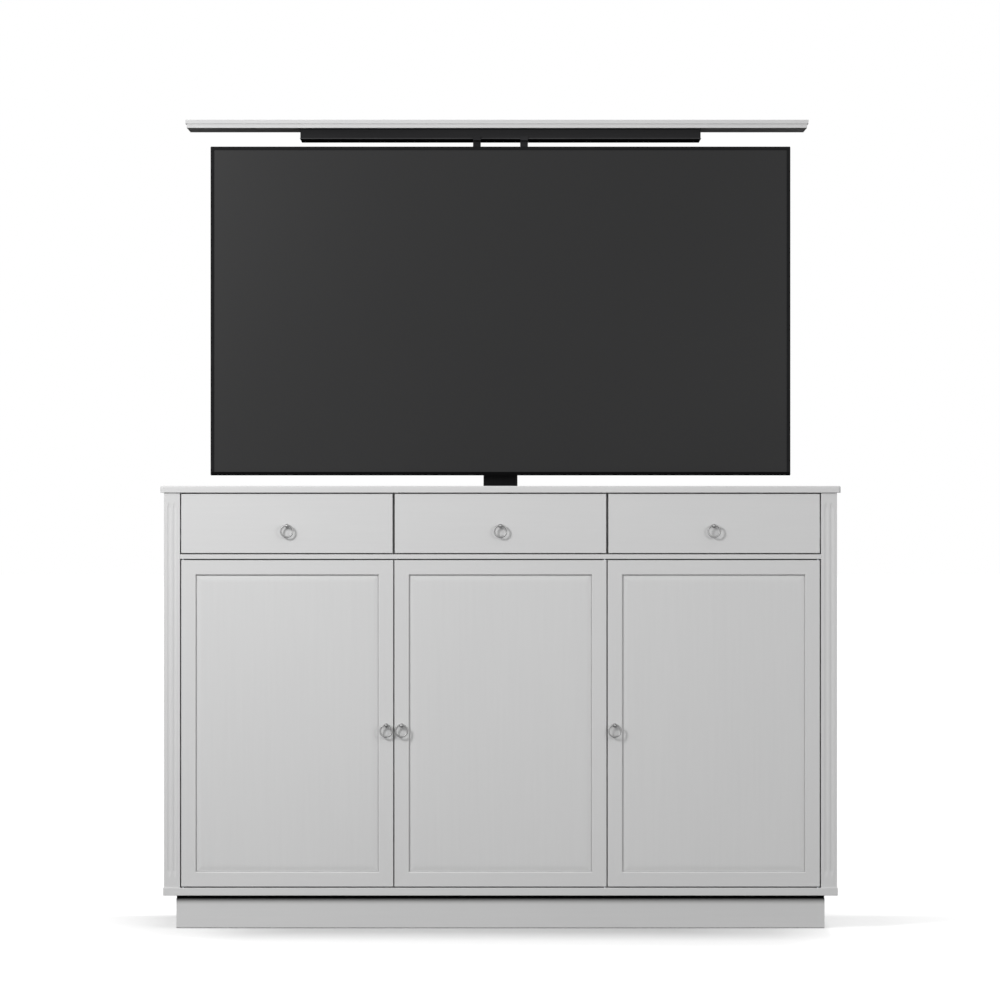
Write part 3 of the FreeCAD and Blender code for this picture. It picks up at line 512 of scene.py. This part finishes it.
def turned_form(line, around, flats=0.0, sides=6, stretch=(1, 1)):
    """A form about its own axis. Each row of the line gives a radius and a reach, and the radius
    at angle a is radius * (1 - flat + flat * cos(h) / cos((a + h) mod 2h - h)), where h is half
    the angle of a side: flat 0 is round and flat 1 a polygon. Points are (across, upward, reach),
    faces point outwards, poles are closed by a fan and a line that ends where it starts is a ring."""
    line = np.array(line, float)
    flats = np.broadcast_to(np.array(flats, float), len(line))
    closed = np.allclose(line[0], line[-1])
    keep = line[:, 0] > ON_AXIS
    keep[-1] &= not closed
    angle = np.arange(around) * 2 * np.pi / around
    half = np.pi / sides
    polygon = np.cos(half) / np.cos(np.mod(angle + half, 2 * half) - half)
    radius = line[keep, 0, None] * (1 - flats[keep, None] + flats[keep, None] * polygon)
    grid = np.stack([radius * np.cos(angle) * stretch[0], radius * np.sin(angle) * stretch[1],
                     np.broadcast_to(line[keep, 1, None], radius.shape)], axis=2)
    points = grid.reshape(-1, 3)
    faces = [tuple(face) for face in ring_faces(len(grid), around, closed)]
    for end, row in ((0, 0), (-1, len(grid) - 1)):
        if line[end, 0] <= ON_AXIS:
            first = row * around
            fan = [(first + k, first + (k + 1) % around, len(points)) for k in range(around)]
            faces += fan if row else [face[::-1] for face in fan]
            points = np.vstack([points, (0, 0, line[end, 1])])
    return points, faces


def seated(points, seats, axis):
    """Copies of a form, one for each seat: seat + across * u + upward * v + axis * reach."""
    axis = np.array(axis, float)
    across = np.array((0.0, 0.0, 1.0)) if abs(axis[2]) < 0.5 else np.array((1.0, 0.0, 0.0))
    basis = np.stack([across, np.cross(axis, across), axis])
    return np.array(seats, float)[:, None, :] + (points @ basis)[None]


def placed_forms(name, form, seats, axis, material, body):
    """One object that holds a copy of the form on every seat."""
    points, faces = form
    cloud = seated(points, seats, axis)
    many = [tuple(corner + copy * len(points) for corner in face)
            for copy in range(len(seats)) for face in faces]
    return put_mesh(name, cloud.reshape(-1, 3), many, material, body)


def carried(name, profile, path, material, body):
    """A closed profile of (outward, up) pairs carried along an open path of level corners. Each
    point is corner + outward * mitre + up, where the mitre is the sum of the outward normals of
    the two runs that meet there, divided by one plus their dot product."""
    path, profile = np.array(path, float), np.array(profile, float)
    run = np.diff(path, axis=0)
    run /= np.linalg.norm(run, axis=1)[:, None]
    normal = np.stack([run[:, 1], -run[:, 0]], axis=1)
    before, after = np.vstack([normal[:1], normal]), np.vstack([normal, normal[-1:]])
    mitre = (before + after) / (1 + (before * after).sum(axis=1))[:, None]
    level = path[:, None, :] + profile[None, :, :1] * mitre[:, None, :]
    up = np.broadcast_to(profile[None, :, 1:], level.shape[:2] + (1,))
    points = np.concatenate([level, up], axis=2).reshape(-1, 3)
    count = len(profile)
    faces = [tuple(face) for face in ring_faces(len(path), count)]
    faces.append(tuple(range(count))[::-1])
    faces.append(tuple(range(len(points) - count, len(points))))
    put_mesh(name, points, faces, material, body, smooth=False)


# ---- ring pulls ---------------------------------------------------------------------------
# An open ring held by a short turned post at its top, in the place of each solid knob. The rise
# is the ring's centre over the knob's, and the post's axis over the ring's centre.
RING_RADIUS = 0.0123
RING_WIRE = 0.0017
RING_REACH = 0.0098
RING_RISE = 0.0028
POST_RISE = 0.0109
POST_OUTLINE = [
    (0, 0, 0), (0.0042, 0, 0.0004), (0.0042, 0.0013, 0.0005), (0.0029, 0.0024, 0.0010),
    (0.0021, 0.0046, 0.001), (0.0020, 0.0068, 0.0006), (0.0033, 0.0084, 0.0014),
    (0.0035, 0.0108, 0.0016), (0.0022, 0.0132, 0.0012), (0, 0.0137, 0)]
POST_STEP = 0.0006


def pull_ring():
    """A ring of round wire: its section is a circle, (radius + wire cos t, reach + wire sin t),
    carried once round the axis."""
    t = np.linspace(0, 2 * np.pi, 21)
    section = np.stack([RING_RADIUS + RING_WIRE * np.cos(t), RING_REACH + RING_WIRE * np.sin(t)], axis=1)
    return turned_form(section, around=96)


PULL_RING = pull_ring()
PULL_POST = turned_form(fine_outline(POST_OUTLINE, POST_STEP), around=40)
for kind in ("drawer", "door"):
    for side_name in SIDES:
        body = "%s_%s" % (kind, side_name)
        low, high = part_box(body + "_knob")
        x, z = (low[0] + high[0]) / 2, (low[2] + high[2]) / 2 + RING_RISE
        placed_forms(body + "_pull_ring", PULL_RING, [(x, high[1], z)], FRONT, LOOKS["nickel"], body)
        post = placed_forms(body + "_pull_post", PULL_POST, [(x, high[1], z + POST_RISE)], FRONT,
                            LOOKS["nickel"], body)
        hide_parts(body + "_knob")


# ---- small fittings -----------------------------------------------------------------------
def start_of(node, axis):
    """Where a CAD node starts along X, Y or Z."""
    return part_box(node)[0]["XYZ".index(axis)]


def end_of(node, axis):
    """Where it ends."""
    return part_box(node)[1]["XYZ".index(axis)]


def middle_of(node, axis):
    """Halfway between the two."""
    return (start_of(node, axis) + end_of(node, axis)) / 2


def inside_of(node, axis, edge):
    """The two places that lie a given edge inside its ends."""
    return start_of(node, axis) + edge, end_of(node, axis) - edge


def about(middle, reach):
    """The two places at a given reach from a middle."""
    return middle - reach, middle + reach


def seats(xs, ys, zs):
    """Every place that has one of the given coordinates on each axis."""
    return [(x, y, z) for x in xs for y in ys for z in zs]


def screw(radius, height):
    """A domed head with a hexagonal socket. Rows give (share of the radius, share of the height,
    0 where round and 1 where hexagonal)."""
    rows = [(0, 0, 0), (1, 0, 0), (1, 0.22, 0), (0.90, 0.60, 0), (0.66, 0.92, 0), (0.50, 1, 0),
            (0.44, 1, 1), (0.42, 0.35, 1), (0, 0.25, 1)]
    line = [(radius * wide, height * reach) for wide, reach, _ in rows]
    return turned_form(line, around=24, flats=[flat for _, _, flat in rows])


def bush(length):
    """A rounded sleeve with a flange, for a cable hole in a board that is a little thinner."""
    return turned_form([
        (0.0262, 0), (0.0297, 0), (0.0297, length), (0.0338, length), (0.0344, length + 0.0006),
        (0.0338, length + 0.0015), (0.0300, length + 0.0017), (0.0276, length + 0.0011),
        (0.0262, length - 0.0010), (0.0262, 0)], around=64)


def rounded_box_form(height, width, rows, flat=0.9):
    """A four-sided form with softened corners. Rows give (share of the size, reach in metres)."""
    corner = math.cos(math.pi / 4)
    return turned_form(rows, around=32, flats=flat, sides=4,
                       stretch=(height / 2 / corner, width / 2 / corner))


def collar(node):
    """The moulded rim round a column's top, a little larger than the column."""
    wide, deep = [end_of(node, axis) - start_of(node, axis) + 2 * COLLAR_PROUD for axis in "XY"]
    return rounded_box_form(wide, deep, COLLAR_ROWS, flat=0.97)


def collar_seat(node):
    """Just under the column's top, in the middle of it."""
    return [(middle_of(node, "X"), middle_of(node, "Y"), end_of(node, "Z") - COLLAR_DROP)]


# An edge is measured inwards from the ends of a CAD node, and a reach outwards from a middle.
FOOT_SCREW_EDGE = 0.018
ARM_MIDDLE_EDGE = 0.008
ARM_SCREW_REACH = 0.086
MOUNT_PATTERN = 0.300
RAIL_SHEET = 0.0025
COVER_SCREWS_X = (-0.404, -0.120, 0.120, 0.404)
COVER_SCREWS_Z = (0.998, 1.414)
GEAR_CASE_END = 0.098
GEAR_SCREW_REACH_Y = 0.024
GEAR_SCREW_REACH_Z = 0.023
CONTROL_LID_EDGE_X = 0.024
CONTROL_LID_EDGE_Y = 0.010
CONTROL_EAR_EDGE = 0.007
CONTROL_EAR_THICK = 0.003
REAR_SCREW_EDGE = 0.0073
REAR_SCREWS_Z = (0.110, 0.300, 0.490, 0.680, 0.870)
BATTEN = 0.014
BATTEN_SCREWS_Y = (-0.161, -0.021)
PARTITION = 0.018
CABLE_HOLE_Z = 0.190
OUTLET_X = -0.470
REAR_BUSH = 0.013
WELL_BUSH = 0.016
SOCKETS_Z = 1.055
SOCKET_BAY_DEPTH = 0.0015
SIGNAL_SOCKETS_X = (0.300, 0.326, 0.352)
NETWORK_SOCKET_X = 0.377
ROUND_SOCKETS_X = (0.248, 0.268)
ROUND_SOCKET_RADIUS = 0.0048
MOTOR_CAP_GRIP = 0.009
MOTOR_AXIS_Z = 0.124
INLET_BLADES_X = (-0.281, -0.271)
INLET_DEPTH = 0.015
INLET_Z = 0.107
COLLAR_PROUD = 0.0012
COLLAR_DROP = 0.0036
# Outlines are (radius, reach) pairs, and rows (share of the size, reach).
SOCKET_ROWS = [(0, 0), (1, 0), (1, 0.0009), (0.98, 0.0011), (0.84, 0.0011), (0.80, 0.0003), (0, 0.0003)]
ROUND_SOCKET_OUTLINE = [(ROUND_SOCKET_RADIUS * wide, reach) for wide, reach in SOCKET_ROWS]
COLLAR_ROWS = [(0.88, 0.0022), (0.94, 0.0030), (0.972, 0), (1, 0), (1, 0.0046), (0.99, 0.0056),
               (0.96, 0.0060), (0.90, 0.0060), (0.88, 0.0054), (0.88, 0.0022)]
CAP_OUTLINE = [(0, 0), (0.0246, 0), (0.0246, 0.0090), (0.0238, 0.0106), (0.0222, 0.0114), (0.0110, 0.0114),
               (0.0104, 0.0134), (0.0094, 0.0140), (0, 0.0140)]
BLADE_ROWS = [(0, 0), (1, 0), (1, 0.0110), (0.70, 0.0120), (0, 0.0120)]

BAYS_END = end_of("shelf_battens", "X")
DIVIDER = end_of("partitions", "X")
BAYS = ((-BAYS_END, -DIVIDER), (PARTITION - DIVIDER, DIVIDER - PARTITION), (DIVIDER, BAYS_END))
BATTEN_Z = middle_of("shelf_battens", "Z")
PATTERN_Z = middle_of("tv_bracket_rails", "Z")
MOTOR_Y = middle_of("lift_motor", "Y")
MOTOR_Z = middle_of("lift_motor", "Z")
SOCKETS_Y = end_of("tv_rear_cover", "Y") - SOCKET_BAY_DEPTH

ZINC_FINISH = ("zinc", "zinc_steel")
BLACK_FINISH = ("black_plastic", "black_plastic")
SCREWS = [
    ("foot_screws", screw(0.0065, 0.0036), UP, ZINC_FINISH, "cabinet",
     seats(inside_of("lift_base_plate", "X", FOOT_SCREW_EDGE),
           inside_of("lift_base_plate", "Y", FOOT_SCREW_EDGE), [end_of("lift_base_plate", "Z")])),
    ("plate_screws", screw(0.0062, 0.0034), BACK, ZINC_FINISH, "lift_top_stage",
     seats(inside_of("lid_support_arms", "X", ARM_MIDDLE_EDGE), [end_of("tv_mount_plate", "Y")],
           (PATTERN_Z - ARM_SCREW_REACH, PATTERN_Z, PATTERN_Z + ARM_SCREW_REACH))),
    ("rail_screws", screw(0.0075, 0.0040), BACK, ZINC_FINISH, "lift_top_stage",
     seats(about(0, MOUNT_PATTERN / 2), [start_of("tv_bracket_rails", "Y") + RAIL_SHEET],
           about(PATTERN_Z, MOUNT_PATTERN / 2))),
    ("cover_screws", screw(0.0042, 0.0009), BACK, BLACK_FINISH, "lift_top_stage",
     seats(COVER_SCREWS_X, [end_of("tv_rear_cover", "Y")], COVER_SCREWS_Z)),
    ("gear_case_screws", screw(0.0034, 0.0020), RIGHT, ZINC_FINISH, "cabinet",
     seats([GEAR_CASE_END], about(MOTOR_Y, GEAR_SCREW_REACH_Y), about(MOTOR_Z, GEAR_SCREW_REACH_Z))),
    ("control_box_screws", screw(0.0036, 0.0012), UP, ZINC_FINISH, "cabinet",
     seats(inside_of("lift_control_box", "X", CONTROL_LID_EDGE_X),
           inside_of("lift_control_box", "Y", CONTROL_LID_EDGE_Y), [end_of("lift_control_box", "Z")])
     + seats(inside_of("lift_control_box", "X", CONTROL_EAR_EDGE), [middle_of("lift_control_box", "Y")],
             [start_of("lift_control_box", "Z") + CONTROL_EAR_THICK])),
    ("rear_board_screws", screw(0.0040, 0.0011), BACK, ZINC_FINISH, "cabinet",
     seats(inside_of("back_panel", "X", REAR_SCREW_EDGE), [end_of("back_panel", "Y")], REAR_SCREWS_Z)),
    ("batten_screws_left", screw(0.0036, 0.0009), RIGHT, ZINC_FINISH, "cabinet",
     seats([start + BATTEN for start, _ in BAYS], BATTEN_SCREWS_Y, [BATTEN_Z])),
    ("batten_screws_right", screw(0.0036, 0.0009), LEFT, ZINC_FINISH, "cabinet",
     seats([end - BATTEN for _, end in BAYS], BATTEN_SCREWS_Y, [BATTEN_Z])),
]
FITTINGS = [
    ("outlet_bush", bush(REAR_BUSH), BACK, BLACK_FINISH, "cabinet",
     [(OUTLET_X, end_of("back_panel", "Y") - REAR_BUSH, CABLE_HOLE_Z)]),
    ("well_bushes", bush(WELL_BUSH), FRONT, BLACK_FINISH, "cabinet",
     seats([(start + end) / 2 for start, end in BAYS], [start_of("well_panel", "Y") + WELL_BUSH],
           [CABLE_HOLE_Z])),
    ("signal_sockets", rounded_box_form(0.0062, 0.0155, SOCKET_ROWS), BACK, ZINC_FINISH, "lift_top_stage",
     seats(SIGNAL_SOCKETS_X, [SOCKETS_Y], [SOCKETS_Z])),
    ("network_socket", rounded_box_form(0.0125, 0.0145, SOCKET_ROWS), BACK, ZINC_FINISH, "lift_top_stage",
     [(NETWORK_SOCKET_X, SOCKETS_Y, SOCKETS_Z)]),
    ("round_sockets", turned_form(ROUND_SOCKET_OUTLINE, around=32), BACK, ZINC_FINISH, "lift_top_stage",
     seats(ROUND_SOCKETS_X, [SOCKETS_Y], [SOCKETS_Z])),
    ("outer_column_collar", collar("lift_outer_column"), UP, BLACK_FINISH, "cabinet",
     collar_seat("lift_outer_column")),
    ("middle_column_collar", collar("lift_middle_column"), UP, BLACK_FINISH, "lift_middle_stage",
     collar_seat("lift_middle_column")),
    ("motor_end_cap", turned_form(CAP_OUTLINE, around=48), RIGHT, BLACK_FINISH, "cabinet",
     [(end_of("lift_motor", "X") - MOTOR_CAP_GRIP, MOTOR_Y, MOTOR_AXIS_Z)]),
    ("mains_inlet_blades", rounded_box_form(0.0040, 0.0016, BLADE_ROWS), BACK, ZINC_FINISH, "cabinet",
     seats(INLET_BLADES_X, [end_of("lift_control_box", "Y") - INLET_DEPTH], [INLET_Z])),
]
for name, form, axis, (look_name, slot_name), body, places in SCREWS + FITTINGS:
    placed_forms(name, form, places, axis, LOOKS[look_name], body)


# ---- strips -------------------------------------------------------------------------------
# The plinth's gap strip, a black sheet that is painted shade in the shadow gap: its path inside the plinth's
# face, and its section from there outwards.
GAP_PATH = 0.012
GAP_FACE = 0.0117
GAP_HOLLOW = 0.0006
GAP_REAR = 0.0002
GAP_CLEAR = 0.0003
GAP_HEIGHT = 0.0064
GAP_END = 0.001
# The platform's bead, paler than its black board, a painted highlight along the lower front edge: its section
# from the platform's front edge, and where it stops at the rear.
BEAD_PROUD = 0.0007
BEAD_BASE = 0.0001
BEAD_SUNK = 0.0008
BEAD_UP = 0.0020
BEAD_DOWN = 0.0002
BEAD_END = 0.002


def round_three_sides(name, profile, half_width, front, rear, look, body):
    """Carries a profile along the left end, the front and the right end of a board."""
    path = [(-half_width, rear), (-half_width, front), (half_width, front), (half_width, rear)]
    carried(name, profile, path, LOOKS[look], body)


def plinth_shade_strip():
    """Painted shade: a black strip that stands in for the shade in the plinth's shadow gap. Its face is a
    shallow hollow, a parabola over the strip's height, just behind the plinth's face on the front and the two
    ends."""
    low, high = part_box("plinth_boards")
    top = high[2] - GAP_CLEAR
    bottom = top - GAP_HEIGHT
    t = np.linspace(1, 0, 7)
    face = np.stack([GAP_FACE - GAP_HOLLOW * (1 - (2 * t - 1) ** 2), bottom + (top - bottom) * t], axis=1)
    profile = np.vstack([face, [(GAP_REAR, bottom), (GAP_REAR, top)]])
    round_three_sides("plinth_painted_shade_strip", profile, high[0] - GAP_PATH, low[1] + GAP_PATH, high[1] - GAP_END,
                      "gap_painted_shade", "cabinet")


def platform_highlight_bead():
    """The thin bead under the front edge of the lid's platform, a painted highlight paler than the board: its
    face is half an ellipse.
    """
    low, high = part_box("lid_platform")
    t = np.linspace(math.pi / 2, -math.pi / 2, 9)
    middle, half = low[2] + (BEAD_UP - BEAD_DOWN) / 2, (BEAD_UP + BEAD_DOWN) / 2
    face = np.stack([BEAD_BASE + BEAD_PROUD * np.cos(t), middle + half * np.sin(t)], axis=1)
    profile = np.vstack([face, [(-BEAD_SUNK, middle - half), (-BEAD_SUNK, middle + half)]])
    round_three_sides("platform_highlight_bead", profile, high[0], low[1], high[1] - BEAD_END, "bead", "lift_top_stage")


plinth_shade_strip()
platform_highlight_bead()


# ---- floor, light and camera --------------------------------------------------------------
# The floor glows where it is far from the cabinet, so that it runs out to white and the soft
# shadow stays near the plinth. Each pair is a place, across or back, and the glow there; the two
# glows add up like the sides of a right angle, to the far glow at most.
GLOW_FAR = 0.64
GLOW_ACROSS = (
    (-1.0, 0.64), (-0.69, 0.32), (-0.61, 0.25), (-0.51, 0.08), (-0.41, 0.0),
    (0.35, 0.0), (0.55, 0.13), (0.665, 0.36), (0.683, 0.53), (0.80, 0.51), (1.05, 0.64))
GLOW_BACK = (
    (-1.0, 0.64), (-0.72, 0.36), (-0.60, 0.30), (-0.37, 0.03), (-0.31, 0.0),
    (0.12, 0.0), (0.18, 0.40), (0.26, 0.64))
# The camera sees a paler floor than the one that throws light back on the cabinet.
FLOOR_BOUNCE = (0.07, 0.07, 0.07, 1)
FLOOR_SEEN = (0.67, 0.67, 0.67, 1)
FLOOR_HALF = 60.0
EYE = (-0.001, -13.141, 0.883)
LENS_MM = 225.4
SENSOR_MM = 36


def studio_floor():
    """A pale plain floor that shows white to the camera and keeps the soft shadow."""
    mesh = bpy.data.meshes.new("studio_floor")
    corners = [(-FLOOR_HALF, -FLOOR_HALF, 0), (FLOOR_HALF, -FLOOR_HALF, 0), (FLOOR_HALF, FLOOR_HALF, 0),
               (-FLOOR_HALF, FLOOR_HALF, 0)]
    mesh.from_pydata(corners, [], [(0, 1, 2, 3)])
    floor = bpy.data.objects.new("studio_floor", mesh)
    bpy.context.scene.collection.objects.link(floor)
    material, tree, shader, where = start_material("floor_white", Roughness=0.9, Specular_IOR_Level=0.0)
    to_camera = tree.nodes.new("ShaderNodeLightPath").outputs["Is Camera Ray"]
    tree.links.new(add_mix(tree, to_camera, FLOOR_BOUNCE, FLOOR_SEEN), shader.inputs["Base Color"])
    squares = [add_math(tree, "POWER", add_table(tree, coordinate(tree, where, axis), table), 2.0)
               for axis, table in (("X", GLOW_ACROSS), ("Y", GLOW_BACK))]
    distant = add_math(tree, "SQRT", add_math(tree, "ADD", *squares))
    level = add_math(tree, "MINIMUM", distant, GLOW_FAR)
    strength = add_math(tree, "MULTIPLY", seen_or_mirrored(tree), level)
    glow = tree.nodes.new("ShaderNodeEmission")
    tree.links.new(strength, glow.inputs["Strength"])
    both = tree.nodes.new("ShaderNodeAddShader")
    tree.links.new(shader.outputs[0], both.inputs[0])
    tree.links.new(glow.outputs[0], both.inputs[1])
    tree.links.new(both.outputs[0], tree.nodes["Material Output"].inputs["Surface"])
    mesh.materials.append(material)


def white_world(horizon, overhead):
    """Soft light from all round, changing with height; plain white to the camera and in mirrors."""
    world = bpy.data.worlds.new("studio_world")
    world.use_nodes = True
    tree = world.node_tree
    seen = seen_or_mirrored(tree)
    direction = tree.nodes.new("ShaderNodeTexCoord").outputs["Generated"]
    height = add_math(tree, "ABSOLUTE", coordinate(tree, direction, "Z"))
    level = add_range(tree, height, 0, 1, horizon, overhead)
    bounced = add_math(tree, "MULTIPLY", level, add_math(tree, "SUBTRACT", 1, seen))
    back = tree.nodes["Background"]
    back.inputs["Color"].default_value = (1, 1, 1, 1)
    tree.links.new(add_math(tree, "MAXIMUM", seen, bounced), back.inputs["Strength"])
    bpy.context.scene.world = world


def soft_box(name, place, aim, size, power):
    """A square area lamp at a place, turned to face a point."""
    light = bpy.data.lights.new(name, "AREA")
    light.size = size
    light.energy = power
    lamp = bpy.data.objects.new(name, light)
    lamp.location = place
    forward = np.array(place, float) - np.array(aim, float)
    forward /= np.linalg.norm(forward)
    right = np.cross((0, 0, 1), forward)
    right /= np.linalg.norm(right)
    up = np.cross(forward, right)
    matrix = np.eye(4)
    matrix[:3, 0], matrix[:3, 1], matrix[:3, 2], matrix[:3, 3] = right, up, forward, place
    lamp.matrix_world = matrix.T.tolist()
    bpy.context.scene.collection.objects.link(lamp)


studio_floor()
white_world(horizon=1.09, overhead=0.4)
soft_box("key_left", place=(-1.75, -2.25, 1.95), aim=(-0.1, -0.2, 0.9), size=0.5, power=46)
soft_box("fill_right", place=(2.0, -2.8, 1.4), aim=(0.1, -0.2, 0.8), size=0.6, power=16)

camera = bpy.data.cameras.new("camera")
camera.sensor_width = SENSOR_MM
camera.lens = LENS_MM
camera_object = bpy.data.objects.new("camera", camera)
camera_object.location = EYE
camera_object.rotation_euler = (math.pi / 2, 0, 0)
bpy.context.scene.collection.objects.link(camera_object)
bpy.context.scene.camera = camera_object
bpy.context.scene.view_settings.view_transform = "Standard"
